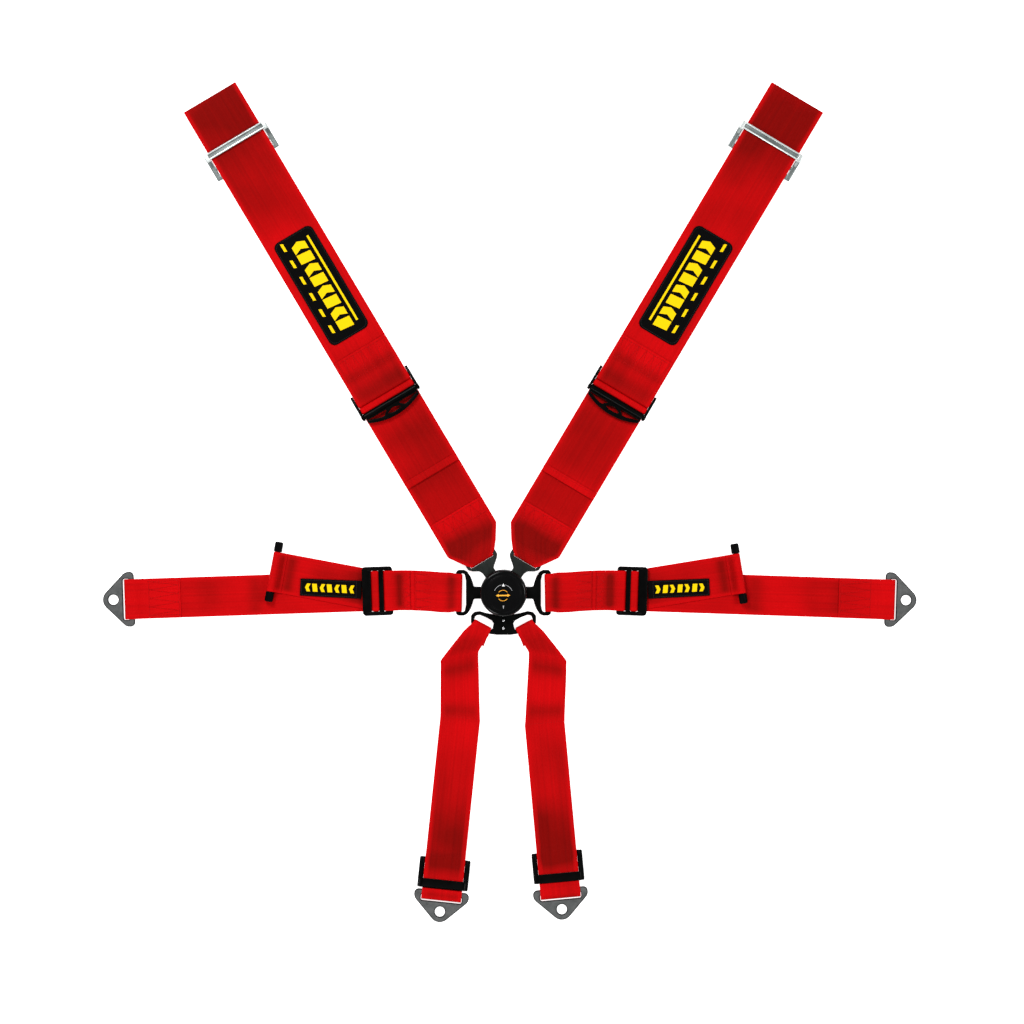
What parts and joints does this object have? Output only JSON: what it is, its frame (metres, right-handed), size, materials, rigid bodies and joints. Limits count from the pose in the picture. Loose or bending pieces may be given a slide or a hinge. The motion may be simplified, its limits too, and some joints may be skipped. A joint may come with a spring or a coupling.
{
  "type": "racing harness",
  "caption": "Racing harness with a rotary-release buckle, wide shoulder straps, and lap and crotch straps that end in bolt-in anchor plates.",
  "frame": {"origin": "centre of the rotary buckle on its flat back face; the harness lies flat on the plane of that face", "axes": "+Z out of the buckle's front, +Y towards the shoulder ends, +X towards the right-hand lap strap"},
  "size_m": [1.032, 1.066, 0.03],
  "materials": {
    "red_webbing": "woven polyester webbing, slight sheen",
    "black_patch": "woven black label with a yellow geometric motif",
    "anchor_steel": "grey phosphate, satin, bare edges",
    "slide_steel": "zinc plated, satin",
    "gloss_black": "gloss black",
    "black_plastic": "matt black moulding",
    "black_steel": "black oxide, semi-gloss",
    "bright_steel": "plain ground steel"
  },
  "bodies": {
    "buckle": {"buckle_back_cover": "black_plastic", "buckle_base_plate": "bright_steel", "buckle_housing": "black_steel", "housing_screws": "bright_steel", "centre_spindle": "bright_steel", "crotch_plate": "black_steel", "crotch_lock_bar": "black_steel", "latch_springs": "bright_steel", "knob_spring": "bright_steel", "crotch_web_left": "red_webbing", "crotch_web_right": "red_webbing"},
    "knob": {"release_knob": "gloss_black", "cam_plate": "bright_steel"},
    "latch": {"latch_ring": "bright_steel"},
    "shoulder_arm_left": {"shoulder_tongue_left": "black_steel", "shoulder_lower_web_left": "red_webbing"},
    "shoulder_adjuster_left": {"shoulder_adjuster_frame_left": "black_steel", "shoulder_adjuster_bar_left": "black_steel", "shoulder_upper_web_left": "red_webbing", "shoulder_patch_left": "black_patch"},
    "shoulder_tail_left": {"shoulder_tail_left": "red_webbing"},
    "shoulder_lever_left": {"shoulder_adjuster_lever_left": "black_steel"},
    "shoulder_slide_left": {"shoulder_slide_left": "slide_steel"},
    "shoulder_arm_right": {"shoulder_tongue_right": "black_steel", "shoulder_lower_web_right": "red_webbing"},
    "shoulder_adjuster_right": {"shoulder_adjuster_frame_right": "black_steel", "shoulder_adjuster_bar_right": "black_steel", "shoulder_upper_web_right": "red_webbing", "shoulder_patch_right": "black_patch"},
    "shoulder_tail_right": {"shoulder_tail_right": "red_webbing"},
    "shoulder_lever_right": {"shoulder_adjuster_lever_right": "black_steel"},
    "shoulder_slide_right": {"shoulder_slide_right": "slide_steel"},
    "lap_arm_left": {"lap_tongue_left": "black_steel", "lap_short_web_left": "red_webbing", "lap_adjuster_frame_left": "black_steel", "lap_adjuster_bar_left": "black_steel"},
    "lap_strap_left": {"lap_long_web_left": "red_webbing"},
    "lap_anchor_left": {"lap_anchor_loop_left": "red_webbing", "lap_anchor_plate_left": "anchor_steel"},
    "lap_pull_tail_left": {"lap_tail_left": "red_webbing", "lap_pull_rod_left": "black_plastic"},
    "lap_tab_left": {"lap_release_tab_left": "black_patch"},
    "lap_arm_right": {"lap_tongue_right": "black_steel", "lap_short_web_right": "red_webbing", "lap_adjuster_frame_right": "black_steel", "lap_adjuster_bar_right": "black_steel"},
    "lap_strap_right": {"lap_long_web_right": "red_webbing"},
    "lap_anchor_right": {"lap_anchor_loop_right": "red_webbing", "lap_anchor_plate_right": "anchor_steel"},
    "lap_pull_tail_right": {"lap_tail_right": "red_webbing", "lap_pull_rod_right": "black_plastic"},
    "lap_tab_right": {"lap_release_tab_right": "black_patch"},
    "crotch_adjuster_left": {"crotch_adjuster_frame_left": "black_steel", "crotch_adjuster_bar_left": "black_steel"},
    "crotch_anchor_left": {"crotch_anchor_loop_left": "red_webbing", "crotch_anchor_plate_left": "anchor_steel"},
    "crotch_adjuster_right": {"crotch_adjuster_frame_right": "black_steel", "crotch_adjuster_bar_right": "black_steel"},
    "crotch_anchor_right": {"crotch_anchor_loop_right": "red_webbing", "crotch_anchor_plate_right": "anchor_steel"}
  },
  "joints": [
    {"name": "knob_turn", "type": "hinge", "parent": "buckle", "child": "knob", "pos_m": [0, 0, 0.0215], "axis": [0, 0, 1], "range_deg": [-60, 0], "stiffness_Nm_per_rad": 0.05},
    {"name": "latch_lift", "type": "slide", "parent": "buckle", "child": "latch", "axis": [0, 0, 1], "range_m": [0, 0.0025], "deforming": ["latch_springs"]},
    {"name": "shoulder_tongue_release_left", "type": "slide", "parent": "buckle", "child": "shoulder_arm_left", "axis": [-0.5707, 0.8211, 0], "range_m": [0, 0.03]},
    {"name": "shoulder_adjust_left", "type": "slide", "parent": "shoulder_arm_left", "child": "shoulder_adjuster_left", "axis": [-0.5105, 0.8599, 0], "range_m": [-0.02, 0.03]},
    {"name": "shoulder_tail_run_left", "type": "slide", "parent": "shoulder_adjuster_left", "child": "shoulder_tail_left", "axis": [-0.5105, 0.8599, 0], "range_m": [-0.02, 0.03]},
    {"name": "shoulder_lever_tilt_left", "type": "hinge", "parent": "shoulder_adjuster_left", "child": "shoulder_lever_left", "pos_m": [-0.14346, 0.24162, 0.0074], "axis": [-0.8599, -0.5105, 0], "range_deg": [0, 35]},
    {"name": "shoulder_slide_run_left", "type": "slide", "parent": "shoulder_adjuster_left", "child": "shoulder_slide_left", "axis": [-0.5105, 0.8599, 0], "range_m": [-0.02, 0.02]},
    {"name": "shoulder_tongue_release_right", "type": "slide", "parent": "buckle", "child": "shoulder_arm_right", "axis": [0.5707, 0.8211, 0], "range_m": [0, 0.03]},
    {"name": "shoulder_adjust_right", "type": "slide", "parent": "shoulder_arm_right", "child": "shoulder_adjuster_right", "axis": [0.5105, 0.8599, 0], "range_m": [-0.02, 0.03]},
    {"name": "shoulder_tail_run_right", "type": "slide", "parent": "shoulder_adjuster_right", "child": "shoulder_tail_right", "axis": [0.5105, 0.8599, 0], "range_m": [-0.02, 0.03]},
    {"name": "shoulder_lever_tilt_right", "type": "hinge", "parent": "shoulder_adjuster_right", "child": "shoulder_lever_right", "pos_m": [0.14346, 0.24162, 0.0074], "axis": [-0.8599, 0.5105, 0], "range_deg": [0, 35]},
    {"name": "shoulder_slide_run_right", "type": "slide", "parent": "shoulder_adjuster_right", "child": "shoulder_slide_right", "axis": [0.5105, 0.8599, 0], "range_m": [-0.02, 0.02]},
    {"name": "lap_tongue_release_left", "type": "slide", "parent": "buckle", "child": "lap_arm_left", "axis": [-1, 0, 0], "range_m": [0, 0.03]},
    {"name": "lap_adjust_left", "type": "slide", "parent": "lap_arm_left", "child": "lap_strap_left", "axis": [-0.9995, -0.0332, 0], "range_m": [-0.04, 0.02]},
    {"name": "lap_tail_run_left", "type": "slide", "parent": "lap_arm_left", "child": "lap_pull_tail_left", "axis": [-0.9829, 0.184, 0], "range_m": [-0.02, 0.04]},
    {"name": "lap_anchor_swing_left", "type": "hinge", "parent": "lap_strap_left", "child": "lap_anchor_left", "pos_m": [-0.45774, -0.00789, 0.0015], "axis": [-0.0332, 0.9995, 0], "range_deg": [-90, 90]},
    {"name": "lap_tab_lift_left", "type": "hinge", "parent": "lap_arm_left", "child": "lap_tab_left", "pos_m": [-0.17999, 0.00132, 0.0056], "axis": [-0.0332, 0.9995, 0], "range_deg": [0, 80]},
    {"name": "lap_tongue_release_right", "type": "slide", "parent": "buckle", "child": "lap_arm_right", "axis": [1, 0, 0], "range_m": [0, 0.03]},
    {"name": "lap_adjust_right", "type": "slide", "parent": "lap_arm_right", "child": "lap_strap_right", "axis": [0.9995, -0.0332, 0], "range_m": [-0.04, 0.02]},
    {"name": "lap_tail_run_right", "type": "slide", "parent": "lap_arm_right", "child": "lap_pull_tail_right", "axis": [0.9869, 0.1616, 0], "range_m": [-0.02, 0.04]},
    {"name": "lap_anchor_swing_right", "type": "hinge", "parent": "lap_strap_right", "child": "lap_anchor_right", "pos_m": [0.47353, -0.0083, 0.0015], "axis": [-0.0332, -0.9995, 0], "range_deg": [-90, 90]},
    {"name": "lap_tab_lift_right", "type": "hinge", "parent": "lap_arm_right", "child": "lap_tab_right", "pos_m": [0.18329, 0.00132, 0.0056], "axis": [-0.0332, -0.9995, 0], "range_deg": [0, 80]},
    {"name": "crotch_adjust_left", "type": "slide", "parent": "buckle", "child": "crotch_adjuster_left", "axis": [-0.1045, -0.9945, 0], "range_m": [-0.02, 0.03]},
    {"name": "crotch_anchor_swing_left", "type": "hinge", "parent": "crotch_adjuster_left", "child": "crotch_anchor_left", "pos_m": [-0.07712, -0.37044, 0.0033], "axis": [-0.9945, 0.1045, 0], "range_deg": [0, 90]},
    {"name": "crotch_adjust_right", "type": "slide", "parent": "buckle", "child": "crotch_adjuster_right", "axis": [0.0924, -0.9957, 0], "range_m": [-0.02, 0.03]},
    {"name": "crotch_anchor_swing_right", "type": "hinge", "parent": "crotch_adjuster_right", "child": "crotch_anchor_right", "pos_m": [0.07038, -0.36186, 0.0033], "axis": [-0.9957, -0.0924, 0], "range_deg": [0, 90]}
  ],
  "couplings": [
    {"joint": "latch_lift", "follows": "knob_turn", "m_per_rad": -0.00229},
    {"joint": "shoulder_tail_run_left", "follows": "shoulder_adjust_left", "ratio": 1},
    {"joint": "shoulder_tail_run_right", "follows": "shoulder_adjust_right", "ratio": 1},
    {"joint": "lap_tail_run_left", "follows": "lap_adjust_left", "ratio": -1},
    {"joint": "lap_tail_run_right", "follows": "lap_adjust_right", "ratio": -1}
  ]
}
